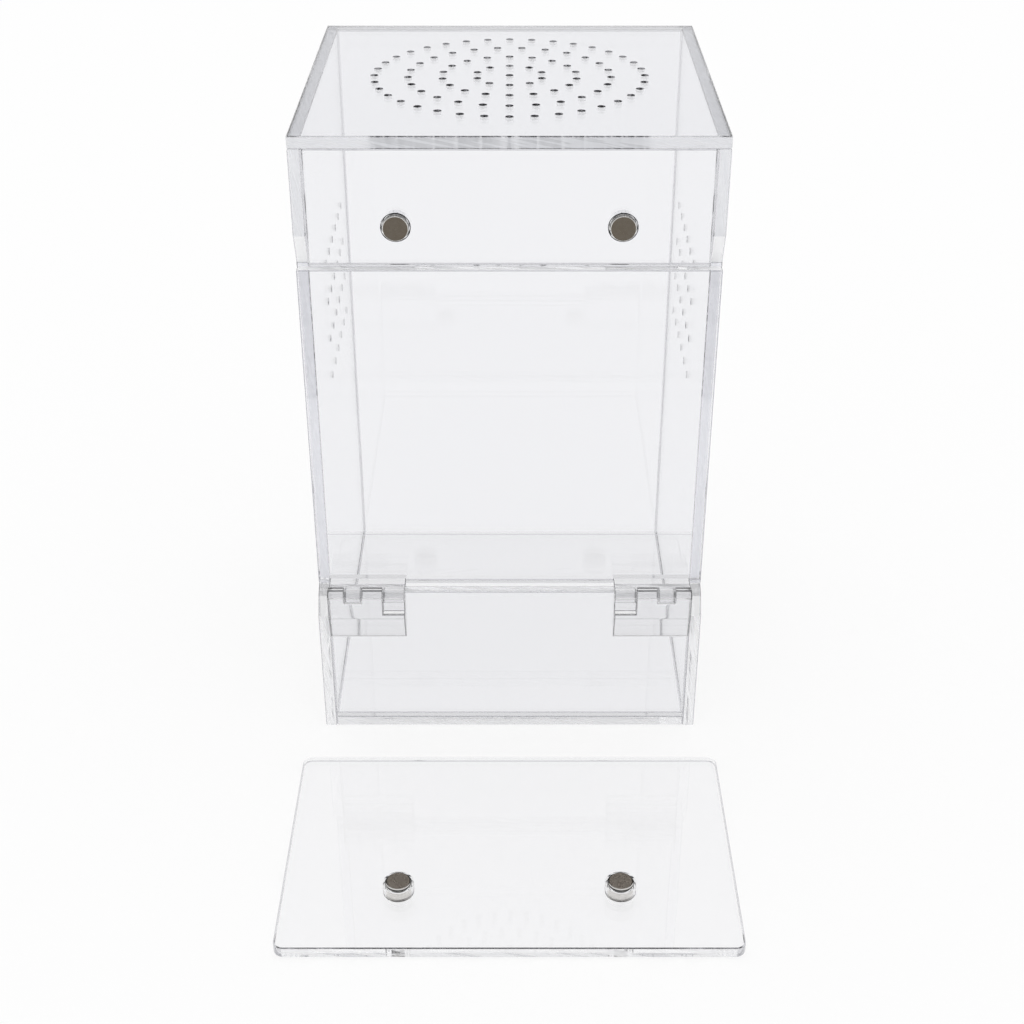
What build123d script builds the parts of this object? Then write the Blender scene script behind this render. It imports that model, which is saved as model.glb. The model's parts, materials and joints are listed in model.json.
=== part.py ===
from build123d import *

import math
import os

# A clear acrylic enclosure for a jumping spider, in millimetres. The origin is the middle of the
# base's footprint on the table, with +X to the keeper's right, +Y to the back and +Z up.

# Sheet and outside size
SHEET = 3.0                  # thickness of every acrylic panel
WIDTH = 100.0                # over the two side panels
DEPTH = 100.0                # from the foot's front edge to the back panel's outer face
HEIGHT = 163.0               # from the table to the top of the vent panel
BOND_GAP = 0.05              # film of cement in a seam, or round a magnet or sleeve
EDGE_BREAK = 0.25            # polished break along the sheets' edges

# Front: a low fixed panel, the hinged door above it, and a fixed panel at the top
LOWER_FRONT_TOP = 43.6       # height of the lower front panel's top edge
UPPER_FRONT_HEIGHT = 28.2    # upper front panel, down from the vent panel's underside
DOOR_BEHIND_LOWER = 1.0      # air between the lower front panel's back and the door's front
DOOR_REST_GAP = 0.3          # air between the closed door and the edges it closes on
DOOR_TOP_GAP = 0.8           # room for the door's top edge as it swings out
DOOR_SIDE_INSET = 0.2        # door edge inside each side panel's outer face
HEAD_RAMP = 7.5              # height of the slope under each side panel's full-depth head
SHOULDER_FALL = 7.3          # height of each side panel's two-facet shoulder
SHOULDER_FACET = 2.9         # drop of its upper facet, and the lower facet's depth

# Vents
VENT_DIAMETER = 2.0
VENT_SIDES = 12              # flats round each small hole, which keep the model light
VENT_RING_PITCH = 8.4        # step in radius from one ring of holes to the next
VENT_RING_COUNTS = (10, 18, 25, 36)
SIDE_VENT_ROWS = 4
SIDE_VENT_ROW_PITCH = 10.5
SIDE_VENT_COLUMNS = 6
SIDE_VENT_COLUMN_PITCH = 8.4
SIDE_VENT_DROP = 45.0        # top row below the top of the enclosure
SIDE_VENT_BACK = 17.0        # last column to the back panel's outer face

# Hinges, at the outer ends of the lower front panel
HINGE_WIDTH = 19.8
HINGE_END_GAP = 0.2          # hinge to the inner face of the side panel
KNUCKLE_RADIUS = 2.0
KNUCKLE_WIDTHS = (4.2, 4.0, 5.3)   # from the outer end; the last knuckle takes what is left
KNUCKLE_GAP = 0.3
LAST_SLOT_DROP = 4.9         # hinge axis to the floor of the bracket's innermost slot
PIN_RADIUS = 0.8
PIN_RUNNING_CLEARANCE = 0.06
HINGE_AXIS_FORWARD = 2.3     # hinge axis in front of the lower front panel's face
HINGE_AXIS_RISE = 0.6        # hinge axis above the lower front panel's top edge
BRACKET_DROP = 13.7          # hinge axis to the bracket's bottom edge
BRACKET_FACE = 6.1           # length of the bracket's upright front face
BRACKET_TOE = 1.6            # thickness of the bracket at its bottom edge
STRAP_THICKNESS = 1.2
MOULD_BREAK = 0.2            # broken edges of the moulded leaves
STRAP_LIFT = 0.3             # air between the strap and the panel edge it passes over

# Magnets
MAGNET_DIAMETER = 6.0
MAGNET_SPACING = 52.4
FRAME_MAGNET_RISE = 9.7      # magnet centres above the upper front panel's bottom edge
FRAME_MAGNET_PROUD = 1.0
SLEEVE_WALL = 0.45           # clear sleeve between the magnet and its hole

# Loose magnetic cover, laid on the table in front with its magnets up
COVER_WIDTH = 108.0
COVER_LENGTH = 67.5
COVER_CORNER = 2.5
COVER_AHEAD = 17.0           # table between the enclosure's foot and the cover's far edge
COVER_MAGNET_INSET = 18.0    # magnet centres to the cover's near edge
COVER_MAGNET_PROUD = 3.4     # magnet above the cover's face
COVER_MAGNET_RECESS = 0.3    # magnet above the cover's outer face
COLLAR_WALL = 0.65
COLLAR_BELOW_MAGNET = 0.5

# Worked-out planes
FOOT_Y = -DEPTH / 2
BACK_Y = DEPTH / 2
SIDE_X = WIDTH / 2
INNER_X = SIDE_X - SHEET
SEAM_X = INNER_X - BOND_GAP
SEAM_TOP = HEIGHT - SHEET - BOND_GAP
DOOR_FRONT_Y = FOOT_Y + SHEET + DOOR_BEHIND_LOWER
DOOR_STOP_Y = DOOR_FRONT_Y + SHEET + DOOR_REST_GAP
UPPER_FRONT_Y = DOOR_STOP_Y - SHEET
UPPER_FRONT_BOTTOM = HEIGHT - SHEET - UPPER_FRONT_HEIGHT
SHOULDER_TOP = LOWER_FRONT_TOP - DOOR_REST_GAP
DOOR_BOTTOM = LOWER_FRONT_TOP
DOOR_TOP = UPPER_FRONT_BOTTOM - DOOR_TOP_GAP
HINGE_Y = FOOT_Y - HINGE_AXIS_FORWARD
HINGE_Z = LOWER_FRONT_TOP + HINGE_AXIS_RISE
STRAP_BOTTOM = LOWER_FRONT_TOP + STRAP_LIFT
STRAP_TOP = STRAP_BOTTOM + STRAP_THICKNESS
MAGNET_RADIUS = MAGNET_DIAMETER / 2
FRAME_MAGNET_Z = UPPER_FRONT_BOTTOM + FRAME_MAGNET_RISE
COVER_FAR_Y = FOOT_Y - COVER_AHEAD
COVER_NEAR_Y = COVER_FAR_Y - COVER_LENGTH
COVER_MAGNET_Y = COVER_NEAR_Y + COVER_MAGNET_INSET


def panel(x_range, y_range, z_range):
    """A flat sheet between two limits on each axis."""
    limits = (x_range, y_range, z_range)
    size = [high - low for low, high in limits]
    middle = [(high + low) / 2 for low, high in limits]
    return Pos(*middle) * Box(*size)


def rod_along_x(x_start, length, radius, y, z):
    """A round rod along X that starts at x_start."""
    return Pos(x_start + length / 2, y, z) * Rot(0, 90, 0) * Cylinder(radius, length)


def side_sign(side):
    return -1 if side == "left" else 1


def polished_sheet(x_range, y_range, z_range):
    """A flat sheet whose edges are all broken."""
    return chamfer(panel(x_range, y_range, z_range).edges(), EDGE_BREAK)


def polished_rims(sheet, axis):
    """Breaks the edges round the two faces of a sheet that is thin along an axis."""
    faces = sheet.faces().sort_by(axis)
    return chamfer(faces[0].edges() + faces[-1].edges(), EDGE_BREAK)


# Fixed panels

def base_panel():
    """The floor, let in between the side panels and in front of the back panel."""
    return polished_sheet((-SEAM_X, SEAM_X), (FOOT_Y, BACK_Y - SHEET - BOND_GAP), (0, SHEET))


def back_panel():
    """The back, let in between the side panels and under the vent panel."""
    return polished_sheet((-SEAM_X, SEAM_X), (BACK_Y - SHEET, BACK_Y), (0, SEAM_TOP))


def side_outline():
    """A side panel's outline: a forward foot with a shoulder of two facets, the rebate that the
    door closes into, and a full-depth head above a slope."""
    return make_face(Polyline(
        (FOOT_Y, 0),
        (BACK_Y, 0),
        (BACK_Y, SEAM_TOP),
        (UPPER_FRONT_Y, SEAM_TOP),
        (UPPER_FRONT_Y, UPPER_FRONT_BOTTOM + HEAD_RAMP),
        (DOOR_STOP_Y, UPPER_FRONT_BOTTOM),
        (DOOR_STOP_Y, SHOULDER_TOP),
        (FOOT_Y + SHOULDER_FACET, SHOULDER_TOP - SHOULDER_FACET),
        (FOOT_Y, SHOULDER_TOP - SHOULDER_FALL),
        close=True,
    ))


def vent_drill(length):
    """The cutter for one small hole, standing along Z and centred on its middle."""
    return extrude(RegularPolygon(VENT_DIAMETER / 2, VENT_SIDES), length / 2, both=True)


def side_vents(x):
    """Rows of holes through a side panel, nearer the back than the door."""
    drill = Rot(0, 90, 0) * vent_drill(4 * SHEET)
    drills = []
    for row in range(SIDE_VENT_ROWS):
        for column in range(SIDE_VENT_COLUMNS):
            y = BACK_Y - SIDE_VENT_BACK - column * SIDE_VENT_COLUMN_PITCH
            z = HEIGHT - SIDE_VENT_DROP - row * SIDE_VENT_ROW_PITCH
            drills.append(Pos(x, y, z) * drill)
    return drills


def side_panel(side):
    x_low = INNER_X if side == "right" else -SIDE_X
    sheet = Pos(x_low, 0, 0) * extrude(Plane.YZ * side_outline(), SHEET)
    return polished_rims(sheet, Axis.X) - side_vents(x_low)


def top_vent_panel():
    """The lid sheet, bonded on the panels below it, with rings of holes round a centre hole."""
    sheet = polished_sheet((-SIDE_X, SIDE_X), (UPPER_FRONT_Y, BACK_Y), (HEIGHT - SHEET, HEIGHT))
    middle_y = (UPPER_FRONT_Y + BACK_Y) / 2
    drill = vent_drill(4 * SHEET)
    drills = [Pos(0, middle_y, HEIGHT) * drill]
    for ring, count in enumerate(VENT_RING_COUNTS, start=1):
        for hole in range(count):
            angle = 2 * math.pi * hole / count - math.pi / 2
            x = ring * VENT_RING_PITCH * math.cos(angle)
            y = middle_y + ring * VENT_RING_PITCH * math.sin(angle)
            drills.append(Pos(x, y, HEIGHT) * drill)
    return sheet - drills


def lower_front_panel():
    """The low panel that keeps the bedding in, standing on the base."""
    return polished_sheet((-SEAM_X, SEAM_X), (FOOT_Y, FOOT_Y + SHEET),
                          (SHEET + BOND_GAP, LOWER_FRONT_TOP))


def frame_magnet_place(side):
    return Pos(side_sign(side) * MAGNET_SPACING / 2, UPPER_FRONT_Y, FRAME_MAGNET_Z) * Rot(-90, 0, 0)


def frame_magnet(side):
    """A disc magnet whose axis points out of the upper front panel."""
    length = SHEET + FRAME_MAGNET_PROUD
    disc = Pos(0, 0, (SHEET - FRAME_MAGNET_PROUD) / 2) * Cylinder(MAGNET_RADIUS, length)
    return frame_magnet_place(side) * disc


def frame_magnet_sleeve(side):
    inner = MAGNET_RADIUS + BOND_GAP
    ring = Cylinder(inner + SLEEVE_WALL, SHEET) - Cylinder(inner, 2 * SHEET)
    return frame_magnet_place(side) * Pos(0, 0, SHEET / 2) * ring


def upper_front_panel():
    """The fixed panel above the door, with a hole for each magnet in its sleeve."""
    sheet = polished_sheet((-SEAM_X, SEAM_X), (UPPER_FRONT_Y, UPPER_FRONT_Y + SHEET),
                           (UPPER_FRONT_BOTTOM, SEAM_TOP))
    drill = Cylinder(MAGNET_RADIUS + SLEEVE_WALL + 2 * BOND_GAP, 4 * SHEET)
    return sheet - [frame_magnet_place(side) * drill for side in ("left", "right")]


# Hinges

def knuckle_spans():
    """Start and width of each knuckle, measured from the hinge's outer end."""
    spans = []
    start = 0.0
    for width in KNUCKLE_WIDTHS:
        spans.append((start, width))
        start += width + KNUCKLE_GAP
    spans.append((start, HINGE_WIDTH - start))
    return spans


def across_hinge(side, start, width):
    """The low X of a span given from the hinge's outer end, on either side."""
    outer = INNER_X - HINGE_END_GAP
    if side == "left":
        return -outer + start
    return outer - start - width


def bracket_profile():
    """Section of the fixed leaf: a thick upright face that tapers to a thin bottom edge."""
    front = HINGE_Y - KNUCKLE_RADIUS
    back = FOOT_Y - BOND_GAP
    face_bottom = HINGE_Z - BRACKET_FACE
    bottom = HINGE_Z - BRACKET_DROP
    return make_face(Polyline(
        (back, bottom),
        (FOOT_Y - BRACKET_TOE, bottom),
        (front, face_bottom),
        (front, HINGE_Z),
        (HINGE_Y, HINGE_Z),
        (back, LOWER_FRONT_TOP),
        close=True,
    ))


def hinge_bracket(side):
    """The fixed leaf, bonded to the lower front panel, with the first and third knuckles."""
    x_low = across_hinge(side, 0, HINGE_WIDTH)
    leaf = Pos(x_low, 0, 0) * extrude(Plane.YZ * bracket_profile(), HINGE_WIDTH)
    leaf = chamfer(leaf.edges(), MOULD_BREAK)
    for index, (start, width) in enumerate(knuckle_spans()):
        x = across_hinge(side, start, width)
        if index % 2 == 0:
            leaf += rod_along_x(x, width, KNUCKLE_RADIUS, HINGE_Y, HINGE_Z)
        else:
            room = rod_along_x(x - KNUCKLE_GAP, width + 2 * KNUCKLE_GAP,
                               KNUCKLE_RADIUS + KNUCKLE_GAP, HINGE_Y, HINGE_Z)
            leaf -= room
    slot_x = across_hinge(side, start - KNUCKLE_GAP, width + 2 * KNUCKLE_GAP)
    leaf -= panel((slot_x, slot_x + width + 2 * KNUCKLE_GAP),
                  (HINGE_Y - 2 * KNUCKLE_RADIUS, HINGE_Y), (HINGE_Z - LAST_SLOT_DROP, HINGE_Z))
    bore = rod_along_x(x_low - 1, HINGE_WIDTH + 2, PIN_RADIUS + BOND_GAP, HINGE_Y, HINGE_Z)
    return leaf - bore


def hinge_strap(side):
    """The moving leaf: a strap over the lower front panel's edge, let into the door's bottom
    edge, with the second and fourth knuckles."""
    x_low = across_hinge(side, 0, HINGE_WIDTH)
    strap_front = HINGE_Y + KNUCKLE_RADIUS + KNUCKLE_GAP + BOND_GAP
    leaf = panel((x_low, x_low + HINGE_WIDTH), (strap_front, DOOR_FRONT_Y + SHEET),
                 (STRAP_BOTTOM, STRAP_TOP))
    leaf = chamfer(leaf.edges(), MOULD_BREAK)
    for start, width in knuckle_spans()[1::2]:
        x = across_hinge(side, start, width)
        leaf += rod_along_x(x, width, KNUCKLE_RADIUS, HINGE_Y, HINGE_Z)
        web_top = min(STRAP_TOP, HINGE_Z + KNUCKLE_RADIUS)
        leaf += panel((x, x + width), (HINGE_Y, strap_front), (STRAP_BOTTOM, web_top))
    bore = rod_along_x(x_low - 1, HINGE_WIDTH + 2, PIN_RADIUS + PIN_RUNNING_CLEARANCE,
                       HINGE_Y, HINGE_Z)
    return leaf - bore


def hinge_pin(side):
    x_low = across_hinge(side, 0, HINGE_WIDTH)
    return rod_along_x(x_low, HINGE_WIDTH, PIN_RADIUS, HINGE_Y, HINGE_Z)


# Door

def front_door_panel():
    """The door, notched at its bottom edge for the two hinge straps."""
    door_x = SIDE_X - DOOR_SIDE_INSET
    sheet = polished_sheet((-door_x, door_x), (DOOR_FRONT_Y, DOOR_FRONT_Y + SHEET),
                           (DOOR_BOTTOM, DOOR_TOP))
    for side in ("left", "right"):
        x_low = across_hinge(side, 0, HINGE_WIDTH) - BOND_GAP
        sheet -= panel((x_low, x_low + HINGE_WIDTH + 2 * BOND_GAP),
                       (DOOR_FRONT_Y - 1, DOOR_FRONT_Y + SHEET + 1),
                       (DOOR_BOTTOM - 1, STRAP_TOP + BOND_GAP))
    return sheet


# Loose magnetic cover

def cover_magnet_place(side):
    return Pos(side_sign(side) * MAGNET_SPACING / 2, COVER_MAGNET_Y, 0)


def cover_panel():
    """The cover's sheet, with round corners, polished edges and two magnet holes."""
    outline = Pos(0, (COVER_FAR_Y + COVER_NEAR_Y) / 2, 0) * RectangleRounded(
        COVER_WIDTH, COVER_LENGTH, COVER_CORNER)
    sheet = polished_rims(extrude(outline, SHEET), Axis.Z)
    drill = Cylinder(MAGNET_RADIUS + BOND_GAP, 4 * SHEET)
    return sheet - [cover_magnet_place(side) * drill for side in ("left", "right")]


def cover_magnet(side):
    """A tall disc magnet through the cover, standing out of its inner face."""
    top = SHEET + COVER_MAGNET_PROUD
    length = top - COVER_MAGNET_RECESS
    disc = Pos(0, 0, (top + COVER_MAGNET_RECESS) / 2) * Cylinder(MAGNET_RADIUS, length)
    return cover_magnet_place(side) * disc


def cover_collar(side):
    """The clear ring that stands on the cover round a magnet."""
    height = COVER_MAGNET_PROUD - COLLAR_BELOW_MAGNET
    inner = MAGNET_RADIUS + BOND_GAP
    ring = Cylinder(inner + COLLAR_WALL, height) - Cylinder(inner, 2 * height)
    return cover_magnet_place(side) * Pos(0, 0, SHEET + BOND_GAP + height / 2) * ring


def build():
    """Every piece by its node name."""
    pieces = {
        "base_panel": base_panel(),
        "back_panel": back_panel(),
        "top_vent_panel": top_vent_panel(),
        "upper_front_panel": upper_front_panel(),
        "lower_front_panel": lower_front_panel(),
        "front_door_panel": front_door_panel(),
        "cover_panel": cover_panel(),
    }
    for side in ("left", "right"):
        pieces[f"{side}_side_panel"] = side_panel(side)
        pieces[f"{side}_frame_magnet"] = frame_magnet(side)
        pieces[f"{side}_frame_magnet_sleeve"] = frame_magnet_sleeve(side)
        pieces[f"{side}_hinge_bracket"] = hinge_bracket(side)
        pieces[f"{side}_hinge_strap"] = hinge_strap(side)
        pieces[f"{side}_hinge_pin"] = hinge_pin(side)
        pieces[f"{side}_cover_magnet"] = cover_magnet(side)
        pieces[f"{side}_cover_collar"] = cover_collar(side)
    return pieces


os.makedirs("parts", exist_ok=True)
for name, piece in build().items():
    export_step(piece, f"parts/{name}.step")
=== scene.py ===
# %% [markdown]
# # A clear acrylic enclosure for a jumping spider
#
# The real object is a tall box of 3 mm cast acrylic. Its sheets are cemented edge to edge, its
# front door swings on two clear moulded hinges, and a loose cover with two magnets lies in front.
# Nearly everything on it is see-through, so this lesson is mostly about light: what clear plastic
# bends, what its cut edges gather, and what a white studio has to hold for plastic to show.
# Lengths are in metres, as in the frame.

import json
import math

import bpy
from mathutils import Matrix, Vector

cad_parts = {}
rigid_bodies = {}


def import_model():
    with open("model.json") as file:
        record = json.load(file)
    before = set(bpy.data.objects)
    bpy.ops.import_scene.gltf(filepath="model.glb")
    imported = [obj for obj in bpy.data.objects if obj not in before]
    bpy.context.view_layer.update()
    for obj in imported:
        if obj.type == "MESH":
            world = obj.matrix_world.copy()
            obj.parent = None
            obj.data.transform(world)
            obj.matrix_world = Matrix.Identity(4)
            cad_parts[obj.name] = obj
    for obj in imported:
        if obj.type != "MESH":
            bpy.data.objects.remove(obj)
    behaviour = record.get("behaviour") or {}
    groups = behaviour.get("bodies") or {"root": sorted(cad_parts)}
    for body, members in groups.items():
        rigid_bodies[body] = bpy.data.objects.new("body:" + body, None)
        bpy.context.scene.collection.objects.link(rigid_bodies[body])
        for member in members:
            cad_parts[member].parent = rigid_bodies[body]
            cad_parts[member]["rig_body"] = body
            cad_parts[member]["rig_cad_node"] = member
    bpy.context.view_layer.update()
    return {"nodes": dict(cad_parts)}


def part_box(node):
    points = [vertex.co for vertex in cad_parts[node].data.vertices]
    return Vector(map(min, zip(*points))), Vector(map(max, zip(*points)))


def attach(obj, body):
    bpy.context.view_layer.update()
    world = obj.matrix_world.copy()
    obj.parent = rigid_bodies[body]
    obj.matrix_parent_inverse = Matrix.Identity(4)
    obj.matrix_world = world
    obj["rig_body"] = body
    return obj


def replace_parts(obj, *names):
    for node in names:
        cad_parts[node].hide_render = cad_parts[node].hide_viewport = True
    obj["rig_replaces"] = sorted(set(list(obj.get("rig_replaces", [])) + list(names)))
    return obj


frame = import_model()
nodes = frame["nodes"]
scene = bpy.context.scene

# %% [markdown]
# ## The camera
#
# The photograph looks down on the box from about 31 degrees, from close by, so its upright edges
# run together towards the table. A camera is set by where it stands, how far it tips down, and its
# lens. The lens is written as a focal length in pixels of the picture, because that is what a fit
# to the box's corners gives, and is turned into millimetres on a 36 mm sensor.

# %% Camera
PICTURE_WIDTH = 1024
FOCAL_PIXELS = 1621.0
SENSOR_WIDTH = 36.0
CAMERA_PLACE = (0.0006, -0.3988, 0.2775)
CAMERA_TIP = math.radians(31.02)
CLIP_START = 0.01

camera_data = bpy.data.cameras.new("camera")
camera_data.sensor_fit = "HORIZONTAL"
camera_data.sensor_width = SENSOR_WIDTH
camera_data.lens = FOCAL_PIXELS / PICTURE_WIDTH * SENSOR_WIDTH
camera_data.clip_start = CLIP_START
camera = bpy.data.objects.new("camera", camera_data)
camera.location = CAMERA_PLACE
camera.rotation_euler = (math.pi / 2 - CAMERA_TIP, 0, 0)
scene.collection.objects.link(camera)
scene.camera = camera
scene.view_settings.view_transform = "Standard"
print("lens in mm:", round(camera_data.lens, 2))

# %% [markdown]
# ## Shader sums as Python
#
# A material is a web of nodes. Written link by link, a sum such as 1 - mask takes five lines, so a
# small class wraps a socket and gives it Python's own operators. One method makes any other node
# from its type, its settings and what goes into its sockets, and another makes the output node.


# %% A socket with arithmetic
class Wire:
    """An output socket of a node tree, with operators that add Math nodes."""

    def __init__(self, recipe, socket):
        self.recipe = recipe
        self.socket = socket

    def __add__(self, other):
        return self.recipe.maths("ADD", self, other)

    def __radd__(self, other):
        return self.recipe.maths("ADD", other, self)

    def __sub__(self, other):
        return self.recipe.maths("SUBTRACT", self, other)

    def __rsub__(self, other):
        return self.recipe.maths("SUBTRACT", other, self)

    def __mul__(self, other):
        return self.recipe.maths("MULTIPLY", self, other)

    def __rmul__(self, other):
        return self.recipe.maths("MULTIPLY", other, self)

    def __lt__(self, other):
        return self.recipe.maths("LESS_THAN", self, other)

    def __gt__(self, other):
        return self.recipe.maths("GREATER_THAN", self, other)

    def __abs__(self):
        return self.recipe.maths("ABSOLUTE", self)

    def most(self, other):
        """The larger of two values."""
        return self.recipe.maths("MAXIMUM", self, other)

    def ramp(self, low, high):
        """0 below low, 1 above high, and a smooth step between."""
        return self.recipe.node(
            "ShaderNodeMapRange",
            {"interpolation_type": "SMOOTHSTEP"},
            {"Value": self, "From Min": low, "From Max": high},
        )

    def parts(self):
        """The X, Y and Z of a vector."""
        split = self.recipe.node("ShaderNodeSeparateXYZ", inputs={0: self}).socket.node
        return [Wire(self.recipe, part) for part in split.outputs]


print("sockets can be added, multiplied and compared")


# %% A recipe that makes nodes
class Recipe:
    """The node tree of one material or world."""

    def __init__(self, owner):
        owner.use_nodes = True
        self.tree = owner.node_tree
        self.tree.nodes.clear()

    def node(self, kind, settings=None, inputs=None, output=0):
        """Makes a node: its settings first, then the values and links of its sockets."""
        made = self.tree.nodes.new(kind)
        for name, value in (settings or {}).items():
            setattr(made, name, value)
        for name, value in (inputs or {}).items():
            if isinstance(value, Wire):
                self.tree.links.new(value.socket, made.inputs[name])
            else:
                made.inputs[name].default_value = value
        return Wire(self, made.outputs[output])

    def maths(self, operation, *values):
        """One Math node."""
        return self.node("ShaderNodeMath", {"operation": operation}, dict(enumerate(values)))

    def tint(self, mask, plain, marked):
        """One colour where the mask is 0 and another where it is 1."""
        values = {0: mask, 6: plain, 7: marked}
        return self.node("ShaderNodeMix", {"data_type": "RGBA"}, values, output=2)

    def place(self):
        """Where a point is on the object."""
        return self.node("ShaderNodeTexCoord", output="Object")

    def facing(self):
        """The direction that a surface points in."""
        return self.node("ShaderNodeTexCoord", output="Normal")

    def ray(self, fact):
        """What Cycles knows of the ray: 1 or 0 for its kind, or a count for its depth."""
        return self.node("ShaderNodeLightPath", output=fact)

    def bent_ray(self):
        """1 for a ray that some surface has mirrored or let through."""
        return self.ray("Is Glossy Ray").most(self.ray("Is Transmission Ray"))

    def outside(self):
        """1 where a surface is met from outside the piece."""
        return 1 - self.node("ShaderNodeNewGeometry", output="Backfacing")

    def finish(self, kind, **sockets):
        """Makes the output node and links its sockets."""
        made = self.tree.nodes.new(kind)
        for name, value in sockets.items():
            self.tree.links.new(value.socket, made.inputs[name])


def grey(level):
    """A grey colour, or a white or black one."""
    return (level, level, level, 1)


WHITE = grey(1)
BLACK = grey(0)
print("recipes ready")

# %% [markdown]
# ## A white studio
#
# Clear plastic has no colour of its own: it shows the room. In an all-white room it vanishes, so
# the room is white at table level, greyer overhead and greyest behind the camera, and the cut
# edges gather that grey and draw the outlines. Only rays that plastic or metal has bent see those
# greys. A plain surface gets the same light from all sides, and the camera sees plain white.

# %% The room
ROOM_WHITE = 1.0
ROOM_OVERHEAD = 0.82
ROOM_BEHIND = 0.50
ROOM_LIGHT = 0.80
OVERHEAD_RISE = (0.05, 0.45)
BEHIND_TURN = (-0.75, 0.05)
NO_DIFFUSE_BOUNCE = 0.5

world = bpy.data.worlds.new("studio")
scene.world = world
room = Recipe(world)
_, back, up = room.node("ShaderNodeTexCoord", output="Generated").parts()
studio = ROOM_WHITE - up.ramp(*OVERHEAD_RISE) * (ROOM_WHITE - ROOM_OVERHEAD)
studio = ROOM_BEHIND + back.ramp(*BEHIND_TURN) * (studio - ROOM_BEHIND)
seen = room.bent_ray() * (room.ray("Diffuse Depth") < NO_DIFFUSE_BOUNCE)
strength = ROOM_LIGHT + seen * (studio - ROOM_LIGHT)
strength = strength + room.ray("Is Camera Ray") * (ROOM_WHITE - strength)
sky = room.node("ShaderNodeBackground", inputs={"Color": WHITE, "Strength": strength})
room.finish("ShaderNodeOutputWorld", Surface=sky)
print("room light:", ROOM_LIGHT)

# %% [markdown]
# ## The window
#
# A white room lights the box evenly from all sides, so one sun adds the soft shadow. It stands high
# behind the box and is very broad, which leaves the shadow without an edge. It only lights: it is
# hidden from mirrored and bent rays, because the cover and the side panels would show it as white
# patches.

# %% The sun
SUN_LIGHT = 0.20
SUN_HEIGHT = math.radians(62)
SUN_SPREAD = math.radians(35)
SUN_TURN = math.radians(195)

sun_data = bpy.data.lights.new("window_light", "SUN")
sun_data.energy = SUN_LIGHT * math.pi / math.sin(SUN_HEIGHT)
sun_data.angle = SUN_SPREAD
sun = bpy.data.objects.new("window_light", sun_data)
sun.rotation_euler = (math.pi / 2 - SUN_HEIGHT, 0, SUN_TURN)
sun.visible_glossy = False
sun.visible_transmission = False
scene.collection.objects.link(sun)
print("sun strength:", round(sun_data.energy, 3))

# %% [markdown]
# ## The table
#
# The photograph's table is plain white and nearly burns out. One large sheet of paper just under
# the foot stands for it. Part of its look is plain white and the rest is lit, so it keeps the shade
# of the box. Seen through acrylic the plain part is larger, which makes up for what the tinted
# sheets take. Under the loose cover, whose tint is painted nearly white as painted light, it is
# smaller.

# %% The table's sheet
FLOOR_HALF = 3.0
FLOOR_DROP = 0.0002
FLOOR_WHITE = 0.985
FLOOR_PLAIN = 0.82
FLOOR_PLAIN_BENT = 0.93
COVER_PLAIN_BENT = 0.84
COVER_MARGIN = 0.0025
PLAIN_WHITE = 0.993
PAPER_GRAIN = 900.0
PAPER_BUMP = 0.05
PAPER_RELIEF = 0.0001

bpy.ops.object.select_all(action="DESELECT")
bpy.ops.mesh.primitive_plane_add(size=2 * FLOOR_HALF, location=(0, 0, -FLOOR_DROP))
floor = bpy.context.object
floor.name = "white_table"
paper = bpy.data.materials.new("white paper")
recipe = Recipe(paper)
grain = recipe.node("ShaderNodeTexNoise", inputs={"Vector": recipe.place(), "Scale": PAPER_GRAIN})
paper_bump = recipe.node(
    "ShaderNodeBump", inputs={"Strength": PAPER_BUMP, "Distance": PAPER_RELIEF, "Height": grain}
)
shaded = recipe.node(
    "ShaderNodeBsdfDiffuse", inputs={"Color": grey(FLOOR_WHITE), "Normal": paper_bump}
)
plain = recipe.node("ShaderNodeEmission", inputs={"Color": WHITE, "Strength": PLAIN_WHITE})
cover_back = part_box("cover_panel")[1].y + COVER_MARGIN
under_cover = recipe.place().parts()[1] < cover_back
share = FLOOR_PLAIN_BENT - under_cover * (FLOOR_PLAIN_BENT - COVER_PLAIN_BENT)
share = (recipe.bent_ray() * share).most(recipe.ray("Is Camera Ray") * FLOOR_PLAIN)
paper_look = recipe.node("ShaderNodeMixShader", inputs={0: share, 1: shaded, 2: plain})
recipe.finish("ShaderNodeOutputMaterial", Surface=paper_look)
floor.data.materials.append(paper)
print("table made, with the cover's part in front of y =", round(cover_back, 4))

# %% [markdown]
# ## Clear plastic
#
# Acrylic bends light like glass, with an index of 1.49, and is very slightly lavender. The sun's
# rays pass it with a small loss. A path tracer can't aim them through a bent ray, and without that
# the box would throw the shadow of a solid block.
#
# Where plastic is sawn, rubbed or moulded to a line it is matt, and a matt surface can be mixed
# in by a mask. Each such mark is a mask and a colour. Acrylic also carries light along a sheet and
# lets it out at the edges, which a path tracer nearly loses, so a mark may glow a little instead.

# %% One clear plastic
ACRYLIC_INDEX = 1.49
SWIRL_SCALE = 60.0
SWIRL_RELIEF = 0.0002


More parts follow.
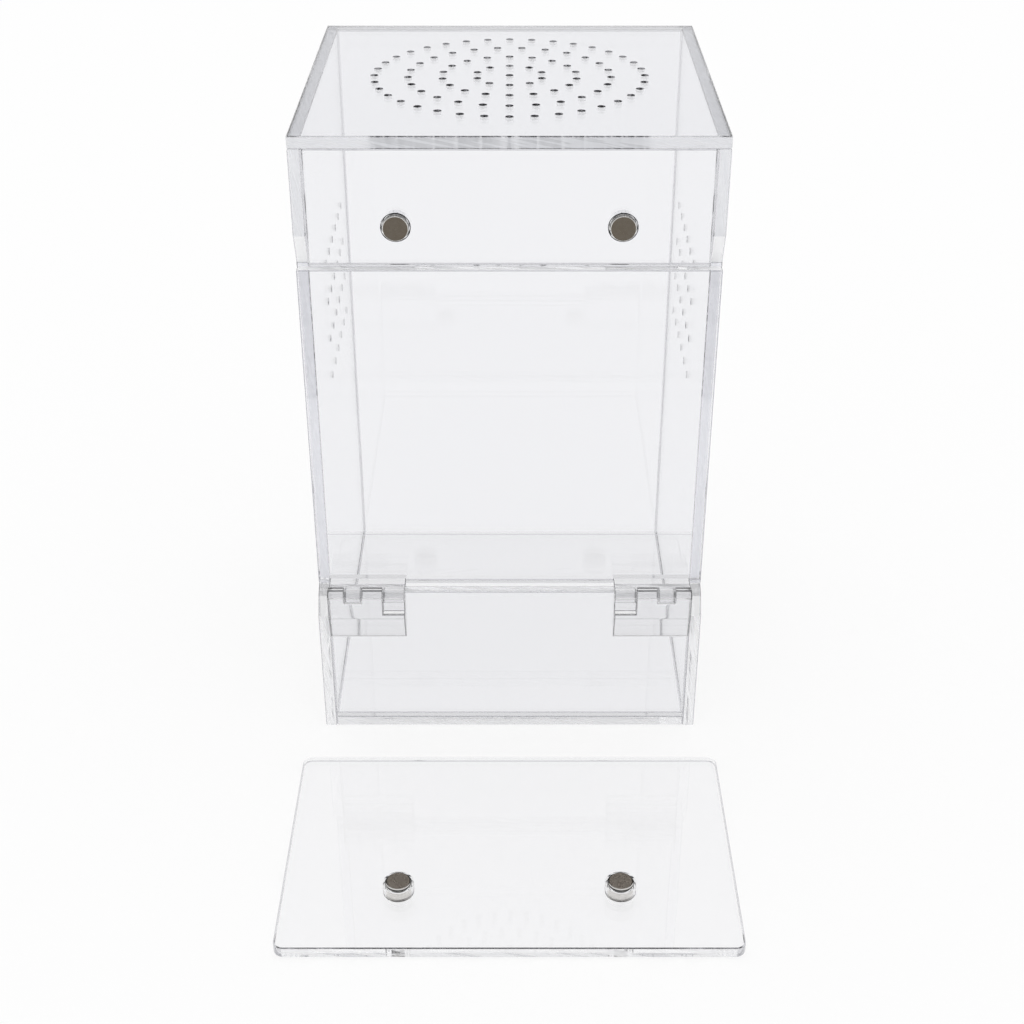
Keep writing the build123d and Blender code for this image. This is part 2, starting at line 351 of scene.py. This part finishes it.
def clear_surface(recipe, colour, roughness, wobble, shade, *marks, glow=BLACK):
    """Ends a recipe as clear plastic with a slightly uneven face. A mark is a mask and the matt
    colour that shows there, and glow is the light that the marks let out of the plastic."""
    swirl = recipe.node(
        "ShaderNodeTexNoise", inputs={"Vector": recipe.place(), "Scale": SWIRL_SCALE}
    )
    bump = recipe.node(
        "ShaderNodeBump", inputs={"Strength": wobble, "Distance": SWIRL_RELIEF, "Height": swirl}
    )
    plastic = recipe.node(
        "ShaderNodeBsdfPrincipled",
        inputs={
            "Base Color": colour,
            "Roughness": roughness,
            "IOR": ACRYLIC_INDEX,
            "Transmission Weight": 1.0,
            "Normal": bump,
        },
    )
    for mask, mark_colour in marks:
        matt = recipe.node(
            "ShaderNodeBsdfPrincipled",
            inputs={
                "Base Color": mark_colour,
                "Roughness": 1.0,
                "Specular IOR Level": 0.0,
                "Emission Color": glow,
                "Emission Strength": 1.0,
            },
        )
        plastic = recipe.node("ShaderNodeMixShader", inputs={0: mask, 1: plastic, 2: matt})
    lamp_through = recipe.node("ShaderNodeBsdfTransparent", inputs={"Color": grey(shade)})
    sides = {0: recipe.ray("Is Shadow Ray"), 1: plastic, 2: lamp_through}
    surface = recipe.node("ShaderNodeMixShader", inputs=sides)
    recipe.finish("ShaderNodeOutputMaterial", Surface=surface)


print("clear plastic ready")

# %% Haze and streaks
CLOUD_SCALE = 35.0
CLOUD_DETAIL = 3.0
CLOUD_STEP = (0.4, 0.75)


def haze(recipe, smooth, dull):
    """A value that drifts between two others over a few centimetres."""
    cloud = recipe.node(
        "ShaderNodeTexNoise",
        inputs={"Vector": recipe.place(), "Scale": CLOUD_SCALE, "Detail": CLOUD_DETAIL},
    )
    return smooth + cloud.ramp(*CLOUD_STEP) * (dull - smooth)


def streaks(recipe, stretch, lean=None):
    """Noise in streaks that run furthest along the axis with the smallest number in stretch. Lean
    holds the axis they lean across, the axis they run along and how much they lean."""
    place = recipe.place().parts()
    stretched = {axis: place[axis] * stretch[axis] for axis in range(3)}
    if lean is not None:
        across, along, amount = lean
        stretched[across] = stretched[across] + place[along] * amount
    vector = recipe.node("ShaderNodeCombineXYZ", inputs=stretched)
    return recipe.node("ShaderNodeTexNoise", inputs={"Vector": vector, "Scale": 1.0})


print("haze and streaks ready")

# %% [markdown]
# ## Sheets of acrylic
#
# A sheet has several kinds of surface. Its broad faces are polished. Its cut edges still show
# slanting streaks from the saw, and some were rubbed to an even satin; their lighter tint is
# painted light. The broken corners between the two are as the tool left them, and are painted grey,
# which is painted shade for the dark of the room that they gather as thin lines. The slopes of the
# side panels are bright again with a painted highlight, and the walls of the drilled holes are
# painted dark as shade.
#
# These could be separate materials on separate faces, but a sheet comes from the frame and is left
# as it is. So masks made from the surface's own direction tell them apart: a corner or a slope
# points along no axis, and an edge points across the sheet's thickness. Saw streaks and satin show
# only from outside, or each sheet would be dark inside.

# %% Colours and finishes of a sheet
SHEET_COLOUR = (0.942, 0.943, 0.954, 1)
# The top sheet's tint is darker than the other sheets', which is painted shade for the grey its
# face reflects.
TOP_TINT_AND_SHADE = (0.905, 0.908, 0.932, 1)
# The cover's tint is nearly white, lighter than the other sheets', which is painted light.
COVER_TINT_AND_LIGHT = (0.99, 0.99, 1.0, 1)
# Cut edges take a lighter tint than the broad faces, which is painted light.
EDGE_TINT_AND_LIGHT = (0.98, 0.98, 0.99, 1)
# The broken corners are painted grey, which is painted shade for the dark of the room that they
# gather.
CORNER_PAINTED_SHADE = (0.50, 0.50, 0.53, 1)
SLOPE_COLOUR = (0.97, 0.97, 0.98, 1)
# The walls of the drilled holes are painted dark, which is painted shade.
HOLE_PAINTED_SHADE = (0.11, 0.11, 0.12, 1)
SIDE_HOLE_PAINTED_SHADE = (0.42, 0.42, 0.44, 1)
FROST_COLOUR = (0.975, 0.977, 0.99, 1)
SATIN_COLOUR = (0.83, 0.84, 0.875, 1)
# Both glows are painted light, let out of the side panels' edge marks: at the foot, and on the
# satin edges seen through the door.
FOOT_GLOW = (0.10, 0.10, 0.105, 1)
DOOR_GLOW = (0.31, 0.315, 0.345, 1)

POLISHED = 0.004
SATIN = 0.20
TOOLED = 0.12
SATIN_FROST = 0.65
# Behind the door the satin edges are frosted more, and in a whiter colour, than above it: partly
# real satin, partly painted light for what the door takes.
DOOR_EDGE_SATIN_AND_LIGHT = 0.75
# The matt white on the side panels' slopes is a painted highlight.
SLOPE_PAINTED_HIGHLIGHT = 0.60
STREAK_FROST = 0.80
SHEET_WOBBLE = 0.02
SHEET_SHADE = 0.97
print("sheet colour:", SHEET_COLOUR[:3])

# %% Marks of the saw
MARKS_ALONG = 60
MARKS_ACROSS = 300
MARKS_THROUGH = 1000
MARKS_LEAN = 200
POINTS_ALONG = 0.5


def saw_marks(recipe, thin_axis, facing):
    """Streaks along every cut edge of a sheet that is thin along one axis. An edge that faces
    along one of the other two axes runs along the other."""
    sides = [axis for axis in range(3) if axis != thin_axis]
    marks = []
    for along in sides:
        stretch = [MARKS_ACROSS] * 3
        stretch[thin_axis] = MARKS_THROUGH
        stretch[along] = MARKS_ALONG
        marks.append(streaks(recipe, stretch, (thin_axis, along, MARKS_LEAN)))
    return marks[0] + (facing[sides[0]] > POINTS_ALONG) * (marks[1] - marks[0])


print("saw marks ready")

# %% The material of a sheet
CORNER_TILT = (0.01, 0.03)
EDGE_TURN = (0.2, 0.3)
SAWN_STEP = (0.38, 0.55)
ABOVE_DOOR = 0.0005

door_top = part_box("front_door_panel")[1].z + ABOVE_DOOR


def within(mask, place, region):
    """A mask kept only in a region, which has a middle and a reach along each axis it names."""
    for axis, (middle, reach) in region.items():
        mask = mask * (abs(place[axis] - middle) < reach)
    return mask


def sheet_material(name, thin_axis, plain=SHEET_COLOUR, slope=CORNER_PAINTED_SHADE, satin_above=None,
                   holes=None, hole_shade=HOLE_PAINTED_SHADE):
    """Acrylic sheet, thin along one axis, with satin edges above a height and a region of holes."""
    material = bpy.data.materials.new(name)
    recipe = Recipe(material)
    facing = [abs(part) for part in recipe.facing().parts()]
    place = recipe.place().parts()
    tilted = (1 - facing[0].most(facing[1]).most(facing[2])).ramp(*CORNER_TILT)
    edge = 1 - facing[thin_axis].ramp(*EDGE_TURN)
    # The lighter tint on cut edges is painted light.
    colour = recipe.tint(edge, plain, EDGE_TINT_AND_LIGHT)
    # Corners are painted grey as shade.
    colour = recipe.tint(tilted, colour, CORNER_PAINTED_SHADE)
    colour = recipe.tint(tilted * edge, colour, slope)
    roughness = haze(recipe, POLISHED, 2 * POLISHED) + tilted * (1 - edge) * (TOOLED - POLISHED)
    sawn = saw_marks(recipe, thin_axis, facing)
    frost = edge * (1 - tilted) * sawn.ramp(*SAWN_STEP) * STREAK_FROST
    frost_colour = FROST_COLOUR
    glow = FOOT_GLOW if thin_axis == 0 else BLACK
    if satin_above is not None:
        satin = edge * (place[2] > satin_above)
        uncovered = place[2] > door_top
        roughness = roughness + satin * (SATIN - POLISHED)
        # Behind the door the satin is stronger and whiter, partly painted light.
        satin_frost = DOOR_EDGE_SATIN_AND_LIGHT + uncovered * (SATIN_FROST - DOOR_EDGE_SATIN_AND_LIGHT)
        # The matt white on slopes is a painted highlight.
        frost = frost.most(satin * satin_frost).most(satin * tilted * SLOPE_PAINTED_HIGHLIGHT)
        frost_colour = recipe.tint(uncovered * (1 - tilted), FROST_COLOUR, SATIN_COLOUR)
        glow = recipe.tint(satin, glow, DOOR_GLOW)
        glow = recipe.tint(uncovered, glow, BLACK)
    if holes is not None:
        # Hole walls are painted dark as shade.
        hole = within(edge, place, holes)
        colour = recipe.tint(hole, colour, hole_shade)
        frost = frost * (1 - hole)
    mark = (frost * recipe.outside(), frost_colour)
    clear_surface(recipe, colour, roughness, SHEET_WOBBLE, SHEET_SHADE, mark, glow=glow)
    return material


print("sheets' edges change look above z =", round(door_top, 4))

# %% Where the holes are
TOP_HOLES_REACH = 0.036
MAGNET_HOLES_ACROSS = 0.031
MAGNET_HOLES_REACH = 0.0045
SIDE_HOLES = {1: (0.012, 0.026), 2: (0.102, 0.020)}
DOOR_OVERLAP = 0.0004


def middle_of(node):
    """The middle of a node's box."""
    low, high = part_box(node)
    return (low + high) / 2


lid_middle = middle_of("top_vent_panel")
magnet_height = middle_of("left_frame_magnet").z
top_holes = {0: (lid_middle.x, TOP_HOLES_REACH), 1: (lid_middle.y, TOP_HOLES_REACH)}
magnet_holes = {0: (0.0, MAGNET_HOLES_ACROSS), 2: (magnet_height, MAGNET_HOLES_REACH)}
door_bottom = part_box("front_door_panel")[0].z + DOOR_OVERLAP
print("magnet holes at z =", round(magnet_height, 4), "satin above z =", round(door_bottom, 4))

# %% The sheets' materials
lying_sheet = sheet_material("acrylic lying sheet", 2)
upright_sheet = sheet_material("acrylic upright sheet", 1)
drilled_front = sheet_material("acrylic drilled front", 1, holes=magnet_holes)
cover_sheet = sheet_material("acrylic cover sheet", 2, COVER_TINT_AND_LIGHT)
vented_top = sheet_material("acrylic vented top", 2, TOP_TINT_AND_SHADE, satin_above=0.0, holes=top_holes)
vented_side = sheet_material(
    "acrylic vented side", 0, slope=SLOPE_COLOUR, satin_above=door_bottom, holes=SIDE_HOLES,
    hole_shade=SIDE_HOLE_PAINTED_SHADE,
)
print("sheet materials made")

# %% [markdown]
# ## Hinge plastic, rings and rods
#
# The moulded hinges are a little greyer than the sheets, and the rings round the magnets and the
# rods in the hinges are clear as well. The rims of a ring show as thin lines, one nearly black and
# one nearly white, so the black one is painted shade and the white one a painted highlight, and
# both are mostly matt.

# %% Small clear parts
SMALL_WOBBLE = 0.1
SMALL_SHADE = 0.95
MOULD_WOBBLE = 0.03
MOULD_SMOOTH = 0.02
MATT_DRIFT = 0.9
HINGE_COLOUR = (0.92, 0.92, 0.925, 1)
RING_COLOUR = grey(0.95)


def plain_clear(name, colour, smooth, wobble=SMALL_WOBBLE, shade=SMALL_SHADE, matt=0.0):
    """A clear plastic of one colour, part of which may be matt."""
    material = bpy.data.materials.new(name)
    recipe = Recipe(material)
    marks = [(haze(recipe, matt, MATT_DRIFT * matt), colour)] if matt else []
    clear_surface(recipe, colour, haze(recipe, smooth, 2 * smooth), wobble, shade, *marks)
    return material


hinge_clear = plain_clear("moulded hinge plastic", HINGE_COLOUR, MOULD_SMOOTH, MOULD_WOBBLE)
# The hinge leaves' rounds are painted dark and their ends grey, which is painted shade that draws
# their lines.
hinge_round_painted_shade = plain_clear("moulded hinge round, painted shade", (0.14, 0.14, 0.145, 1), smooth=0.10)
hinge_end_painted_shade = plain_clear("moulded hinge end, painted shade", (0.45, 0.45, 0.46, 1), smooth=0.05)
ring_clear = plain_clear("turned ring plastic", RING_COLOUR, smooth=0.04)
# Painted shade and painted highlight for the rims of the clear rings.
rim_painted_shade = plain_clear("ring rim, painted shade", grey(0.02), smooth=0.10, matt=0.8)
rim_painted_highlight = plain_clear("ring rim, painted highlight", grey(0.97), smooth=0.10, matt=0.85)
rod_clear = plain_clear("clear hinge rod", RING_COLOUR, smooth=0.02, wobble=0.02, shade=0.97)
print("small clear materials made")

# %% [markdown]
# ## The lines on a moulded bracket
#
# The fixed leaf of each hinge shows a few thin lines: dark ones along the knuckles' crowns, the
# crease where its front starts to taper, both ends and just above its bottom edge, and a white one
# under that. The leaf's own shape draws them too faintly in this light, so each is also painted,
# the dark ones as painted shade and the white one as a painted highlight, placed by the boxes of
# the leaf, its pin and the sheet that it is fixed to.

# %% The bracket's material
# Painted shade for the dark lines, and a painted highlight for the white one.
LINE_PAINTED_SHADE = (0.10, 0.10, 0.105, 1)
EDGE_PAINTED_HIGHLIGHT = (0.97, 0.97, 0.98, 1)
LINE_HALF = 0.00009
END_LINE = 0.00027
WHITE_BAND = 0.00054
BOTTOM_LINE_RISE = 0.00063
FRONT_DEPTH = 0.0003
TOE_DEPTH = 0.0015
FACE_HEIGHT = 0.0061
CROWN_TURN = (-0.16, -0.08)
CROWN_UP = 0.6
END_TURN = 0.5
CROWN_MARK = 0.75
CREASE_MARK = 0.3
END_MARK = 0.6
BOTTOM_MARK = 0.5
WHITE_MARK = 0.9

bracket_low, bracket_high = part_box("right_hinge_bracket")
bracket_middle = middle_of("right_hinge_bracket").x
bracket_half = (bracket_high.x - bracket_low.x) / 2
knuckle_axis = middle_of("right_hinge_pin").z
toe_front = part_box("lower_front_panel")[0].y - TOE_DEPTH


def moulded_bracket():
    """Hinge plastic with the fixed leaf's lines painted on as shade and highlight, for the left and
    the right one alike.
    """
    material = bpy.data.materials.new("moulded hinge bracket")
    recipe = Recipe(material)
    sideways, forward, up = recipe.facing().parts()
    x, y, z = recipe.place().parts()
    off_middle = abs(abs(x) - bracket_middle)
    on_front = y < bracket_low.y + FRONT_DEPTH
    on_toe = y < toe_front
    crown = forward.ramp(*CROWN_TURN) * (up > CROWN_UP) * (z > knuckle_axis) * CROWN_MARK
    crease = (abs(z - (knuckle_axis - FACE_HEIGHT)) < LINE_HALF) * on_front * CREASE_MARK
    end = (off_middle > bracket_half - END_LINE) * (abs(sideways) < END_TURN) * END_MARK
    bottom = (abs(z - (bracket_low.z + BOTTOM_LINE_RISE)) < LINE_HALF) * on_toe * BOTTOM_MARK
    dark = crown.most(crease).most(end).most(bottom)
    white = (z < bracket_low.z + WHITE_BAND) * on_toe * WHITE_MARK
    roughness = haze(recipe, MOULD_SMOOTH, 2 * MOULD_SMOOTH)
    marks = (dark, LINE_PAINTED_SHADE), (white, EDGE_PAINTED_HIGHLIGHT)
    clear_surface(recipe, HINGE_COLOUR, roughness, MOULD_WOBBLE, SMALL_SHADE, *marks)
    return material


bracket_clear = moulded_bracket()
print("bracket lines from z =", round(bracket_low.z, 4), "to", round(knuckle_axis, 4))

# %% [markdown]
# ## Nickel
#
# The magnets are plated with nickel. Their faces are warm and dark, and their sides are silver. A
# cover magnet's face, which lies up, is a lighter copy, painted light.
# The rim round a cover magnet's face is painted dark as shade, with a painted highlight towards the
# front, so that colour changes with the direction that the surface points in.

# %% Nickel
FACE_GRAIN = 900
SIDE_GRAIN = 150
WORN_STEP = (0.35, 0.7)
FRONT_TURN = (0.1, 0.3)
RIM_PAINTED_SHADES = (0.02, 0.018, 0.015, 1), (0.03, 0.027, 0.024, 1)
RIM_ROUGHNESS = 0.30
FACE_ROUGHNESS = 0.25
SIDE_ROUGHNESS = 0.16
WORN_ROUGHER = 0.5


def metal_material(name, colour, worn_colour, roughness, grain, front_highlight=None):
    """A bare metal whose polish and colour vary in a fine grain. A front highlight, where one is
    given, is painted on what faces the front."""
    material = bpy.data.materials.new(name)
    recipe = Recipe(material)
    worn = streaks(recipe, [grain] * 3).ramp(*WORN_STEP)
    metal_colour = recipe.tint(worn, colour, worn_colour)
    if front_highlight is not None:
        front = (0 - recipe.facing().parts()[1]).ramp(*FRONT_TURN)
        metal_colour = recipe.tint(front, metal_colour, front_highlight)
    metal = recipe.node(
        "ShaderNodeBsdfPrincipled",
        inputs={
            "Base Color": metal_colour,
            "Metallic": 1.0,
            "Roughness": roughness + worn * (WORN_ROUGHER * roughness),
        },
    )
    recipe.finish("ShaderNodeOutputMaterial", Surface=metal)
    return material


nickel_face = metal_material(
    "nickel face", (0.135, 0.115, 0.092, 1), (0.155, 0.135, 0.11, 1), FACE_ROUGHNESS, FACE_GRAIN
)
# A cover magnet's face is a lighter copy of the face colour, which is painted light for a face that
# lies up.
face_painted_lit = metal_material(
    "nickel face, painted lit", (0.22, 0.192, 0.160, 1), (0.24, 0.212, 0.180, 1), FACE_ROUGHNESS,
    FACE_GRAIN,
)
# The cover magnet's rim is painted dark as shade, with a painted highlight where it faces the
# front.
nickel_rim_painted_shade = metal_material("nickel rim", *RIM_PAINTED_SHADES, RIM_ROUGHNESS, FACE_GRAIN)
nickel_rim_painted_highlight = metal_material(
    "nickel rim with painted highlight at the front", *RIM_PAINTED_SHADES, RIM_ROUGHNESS, FACE_GRAIN,
    front_highlight=(0.95, 0.93, 0.90, 1),
)
nickel_side = metal_material(
    "nickel side", (0.80, 0.78, 0.75, 1), (0.92, 0.91, 0.88, 1), SIDE_ROUGHNESS, SIDE_GRAIN
)
print("metals made")

# %% [markdown]
# ## Working on a mesh
#
# Operators act on whatever is selected, so one helper clears the selection and picks a piece. Faces
# are picked in code, by their place or direction. A magnet, ring or rod is modelled once, for its
# place on the left. The one on the right is a copy with a mesh of its own, moved by the distance
# between the two nodes.

# %% Helpers for one piece
SMOOTH_BELOW = math.radians(20)
SHARP_ABOVE = math.radians(60)


def active(piece):
    """Makes one piece the only selected and active one."""
    bpy.ops.object.select_all(action="DESELECT")
    piece.select_set(True)
    bpy.context.view_layer.objects.active = piece


def dressed(piece, *materials):
    """Gives a piece its materials, in the order of its faces' material numbers."""
    piece.data.materials.clear()
    for material in materials:
        piece.data.materials.append(material)


def rounded(piece, width, segments, edge_material):
    """Rounds the sharp edges of a piece, and gives the new faces one of its materials."""
    bevel = piece.modifiers.new("rounded", "BEVEL")
    bevel.width = width
    bevel.segments = segments
    bevel.limit_method = "ANGLE"
    bevel.angle_limit = SHARP_ABOVE
    bevel.material = edge_material
    bevel.use_clamp_overlap = False
    active(piece)
    bpy.ops.object.modifier_apply(modifier=bevel.name)


def stands_for(piece, node, body):
    """Settles a finished piece and puts it in the place of a node of the frame."""
    active(piece)
    bpy.ops.object.transform_apply(location=True, rotation=True, scale=True)
    bpy.ops.object.shade_smooth_by_angle(angle=SMOOTH_BELOW)
    piece.name = "made_" + node
    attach(piece, body)
    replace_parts(piece, node)
    print(piece.name, len(piece.data.polygons), "faces")


print("edges are smooth below", round(math.degrees(SMOOTH_BELOW)), "degrees")

# %% Helpers for a start and a copy


def cylinder(node, axis, sides, end_fill="NGON"):
    """A cylinder that fills a node's place. Its own Z runs along X, -Y or Z, by the axis given."""
    low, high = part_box(node)
    size = high - low
    turns = {0: (0, math.pi / 2, 0), 1: (math.pi / 2, 0, 0), 2: (0, 0, 0)}
    bpy.ops.object.select_all(action="DESELECT")
    bpy.ops.mesh.primitive_cylinder_add(
        vertices=sides,
        radius=size[(axis + 1) % 3] / 2,
        depth=size[axis],
        end_fill_type=end_fill,
        location=(low + high) / 2,
        rotation=turns[axis],
    )
    return bpy.context.object


def copied_to(piece, node, body):
    """A copy of a finished piece, with its own mesh, moved to another node's place."""
    active(piece)
    bpy.ops.object.duplicate()
    copy = bpy.context.object
    # The copy still has its original's body and node, and gets its own from stands_for.
    bpy.ops.object.parent_clear(type="CLEAR_KEEP_TRANSFORM")
    del copy["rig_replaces"]
    there, here = (sum(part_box(name), Vector()) / 2 for name in (node, piece["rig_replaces"][0]))
    bpy.ops.transform.translate(value=there - here)
    stands_for(copy, node, body)


print("helpers ready")

# %% [markdown]
# ## The disc magnets
#
# Each magnet is a stubby cylinder with a small round at both rims and a faintly dished face. It
# starts as a cylinder primitive. A bevel rounds the rims. Then the face that shows is inset and
# pressed in a little in edit mode, so that a thin ring stands round it. The frame gives its place.
# A cover magnet's rim is rounder, and is painted dark as shade but for a painted highlight on the
# part that faces the front.

# %% Magnets
DISC_SIDES = 64
DISC_STEPS = 3
FRAME_MAGNET_ROUND = 0.00012
COVER_MAGNET_ROUND = 0.00034
FACE_RIM = 0.00012
FACE_DISH = 0.00005
FACE_UP = 0.99
RIM_TILT = 0.6

magnet_low, magnet_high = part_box("left_frame_magnet")
disc_radius = (magnet_high.x - magnet_low.x) / 2


def disc_magnet(node, axis, body, rim_round, *finishes):
    """A magnet along one axis whose face points away from what holds it. Its finishes are those
    of its side, its face, its rims and the upper part of the rim round its face."""
    piece = cylinder(node, axis, DISC_SIDES)
    dressed(piece, *finishes)
    rounded(piece, rim_round, DISC_STEPS, 2)
    for face in piece.data.polygons:
        face.select = face.normal.z > FACE_UP and len(face.vertices) == DISC_SIDES
    bpy.ops.object.mode_set(mode="EDIT")
    bpy.ops.mesh.inset(thickness=FACE_RIM, depth=-FACE_DISH)
    bpy.ops.object.mode_set(mode="OBJECT")
    for face in piece.data.polygons:
        off_axis = math.hypot(face.center.x, face.center.y)
        if face.normal.z > RIM_TILT:
            face.material_index = 3 if off_axis > disc_radius - rim_round else 1
    stands_for(piece, node, body)
    return piece


frame_magnet = disc_magnet(
    "left_frame_magnet", 1, "enclosure", FRAME_MAGNET_ROUND,
    nickel_side, nickel_face, nickel_side, nickel_side,
)
cover_magnet = disc_magnet(
    "left_cover_magnet", 2, "magnetic_cover", COVER_MAGNET_ROUND,
    nickel_side, face_painted_lit, nickel_rim_painted_shade, nickel_rim_painted_highlight,
)
copied_to(frame_magnet, "right_frame_magnet", "enclosure")
copied_to(cover_magnet, "right_cover_magnet", "magnetic_cover")

# %% [markdown]
# ## The clear rings
#
# A sleeve lines each magnet's hole in the fixed front, and a collar stands round each magnet on the
# cover. A ring is easiest from a cylinder with open ends: Solidify gives it its wall towards the
# middle, and a bevel softens its four rims. The outer and inner rims are painted: a sleeve has
# painted shade outside and a painted highlight inside, and a collar the other way round.

# %% Sleeves and collars
SLEEVE_ROUND = 0.00014
COLLAR_ROUND = 0.00013
SLEEVE_WALL = 0.00045
COLLAR_WALL = 0.00065
RING_STEPS = 2


def clear_ring(node, axis, wall, rim_round, body, outer_rim_paint, inner_rim_paint):
    """A ring along one axis with rounded rims, the outer and inner ones painted as shade and as
    highlight.
    """
    piece = cylinder(node, axis, DISC_SIDES, "NOTHING")
    dressed(piece, ring_clear, outer_rim_paint, inner_rim_paint)
    solid = piece.modifiers.new("wall", "SOLIDIFY")
    solid.thickness = wall
    solid.offset = -1
    active(piece)
    bpy.ops.object.modifier_apply(modifier=solid.name)
    rounded(piece, rim_round, RING_STEPS, 1)
    for face in piece.data.polygons:
        off_axis = math.hypot(face.center.x, face.center.y)
        if face.material_index == 1 and off_axis < disc_radius + wall / 2:
            face.material_index = 2
    stands_for(piece, node, body)
    return piece


sleeve = clear_ring(
    "left_frame_magnet_sleeve", 1, SLEEVE_WALL, SLEEVE_ROUND, "enclosure", rim_painted_shade, rim_painted_highlight
)
collar = clear_ring(
    "left_cover_collar", 2, COLLAR_WALL, COLLAR_ROUND, "magnetic_cover", rim_painted_highlight, rim_painted_shade
)
copied_to(sleeve, "right_frame_magnet_sleeve", "enclosure")
copied_to(collar, "right_cover_collar", "magnetic_cover")

# %% [markdown]
# ## The moulded hinges
#
# The frame's leaves have the right form, with knuckles, slots and bores that turn round one axis,
# but the corners left by their cuts are knife-sharp, and a moulding's never are. Remaking them by
# hand would risk that fit, so each leaf is copied, its loose triangles are merged into faces, and
# its sharp corners are rounded. The rounds are painted dark and the two ends grey, which is painted
# shade that draws the lines that the real hinge shows at its ends and between its knuckles.

# %% Hinge leaves
MOULD_ROUND = 0.00014
MOULD_STEPS = 2
SAME_POINT = 1e-6
FLAT_WITHIN = math.radians(1)
END_DEPTH = 0.0003
END_CHAMFER = 0.6
END_FACE = 0.9


def moulded_leaf(node, body, plastic):
    """A copy of a hinge leaf with merged faces and rounded corners."""
    active(nodes[node])
    bpy.ops.object.duplicate()
    piece = bpy.context.object
    # The copy is no node of the frame any more, so what marks it as one is taken off.
    bpy.ops.object.parent_clear(type="CLEAR_KEEP_TRANSFORM")
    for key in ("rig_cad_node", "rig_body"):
        del piece[key]
    low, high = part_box(node)
    dressed(piece, plastic, hinge_round_painted_shade, hinge_end_painted_shade)
    bpy.ops.mesh.customdata_custom_splitnormals_clear()
    bpy.ops.object.mode_set(mode="EDIT")
    bpy.ops.mesh.select_all(action="SELECT")
    bpy.ops.mesh.remove_doubles(threshold=SAME_POINT)
    bpy.ops.mesh.dissolve_limited(angle_limit=FLAT_WITHIN)
    bpy.ops.object.mode_set(mode="OBJECT")
    for face in piece.data.polygons:
        outermost = min(face.center.x - low.x, high.x - face.center.x) < END_DEPTH
        if abs(face.normal.x) > END_FACE and outermost:
            face.material_index = 2
        else:
            face.material_index = int(abs(face.normal.x) > END_CHAMFER and outermost)
    rounded(piece, MOULD_ROUND, MOULD_STEPS, 1)
    stands_for(piece, node, body)


for side in ("left", "right"):
    moulded_leaf(side + "_hinge_bracket", "enclosure", bracket_clear)
    moulded_leaf(side + "_hinge_strap", "front_door", hinge_clear)

# %% [markdown]
# ## The hinge rods
#
# A clear rod runs through each hinge's four knuckles. It is a cylinder whose end rims are rounded
# widely.

# %% Rods
ROD_SIDES = 32
ROD_ROUND = 0.0004
ROD_STEPS = 4


def hinge_rod(node):
    """The rod through one hinge's knuckles."""
    piece = cylinder(node, 0, ROD_SIDES)
    dressed(piece, rod_clear)
    rounded(piece, ROD_ROUND, ROD_STEPS, 0)
    stands_for(piece, node, "enclosure")
    return piece


rod = hinge_rod("left_hinge_pin")
copied_to(rod, "right_hinge_pin", "enclosure")

# %% [markdown]
# ## Dressing the sheets
#
# The sheets of the frame already have their place, shape and broken corners, so they only take
# their finish, by which way each one is thin.

# %% Finishes on the sheets
SHEET_FINISH = {
    "top_vent_panel": vented_top,
    "left_side_panel": vented_side,
    "right_side_panel": vented_side,
    "base_panel": lying_sheet,
    "cover_panel": cover_sheet,
    "back_panel": upright_sheet,
    "lower_front_panel": upright_sheet,
    "upper_front_panel": drilled_front,
    "front_door_panel": upright_sheet,
}

for name, finish in SHEET_FINISH.items():
    for slot in nodes[name].material_slots:
        slot.material = finish
print("dressed", len(SHEET_FINISH), "sheets")

# %% [markdown]
# ## Light inside the plastic
#
# A ray that runs along a sheet meets its faces many times before it comes out, so the number of
# bounces is raised above what solid objects need. Light that something shiny throws onto a matt
# surface is left out, because it would come as bright specks.

# %% Bounces
MOST_BOUNCES = 64

scene.cycles.max_bounces = MOST_BOUNCES
scene.cycles.transmission_bounces = MOST_BOUNCES
scene.cycles.glossy_bounces = MOST_BOUNCES
scene.cycles.transparent_max_bounces = MOST_BOUNCES
scene.cycles.caustics_reflective = False
print("bounces:", scene.cycles.max_bounces)
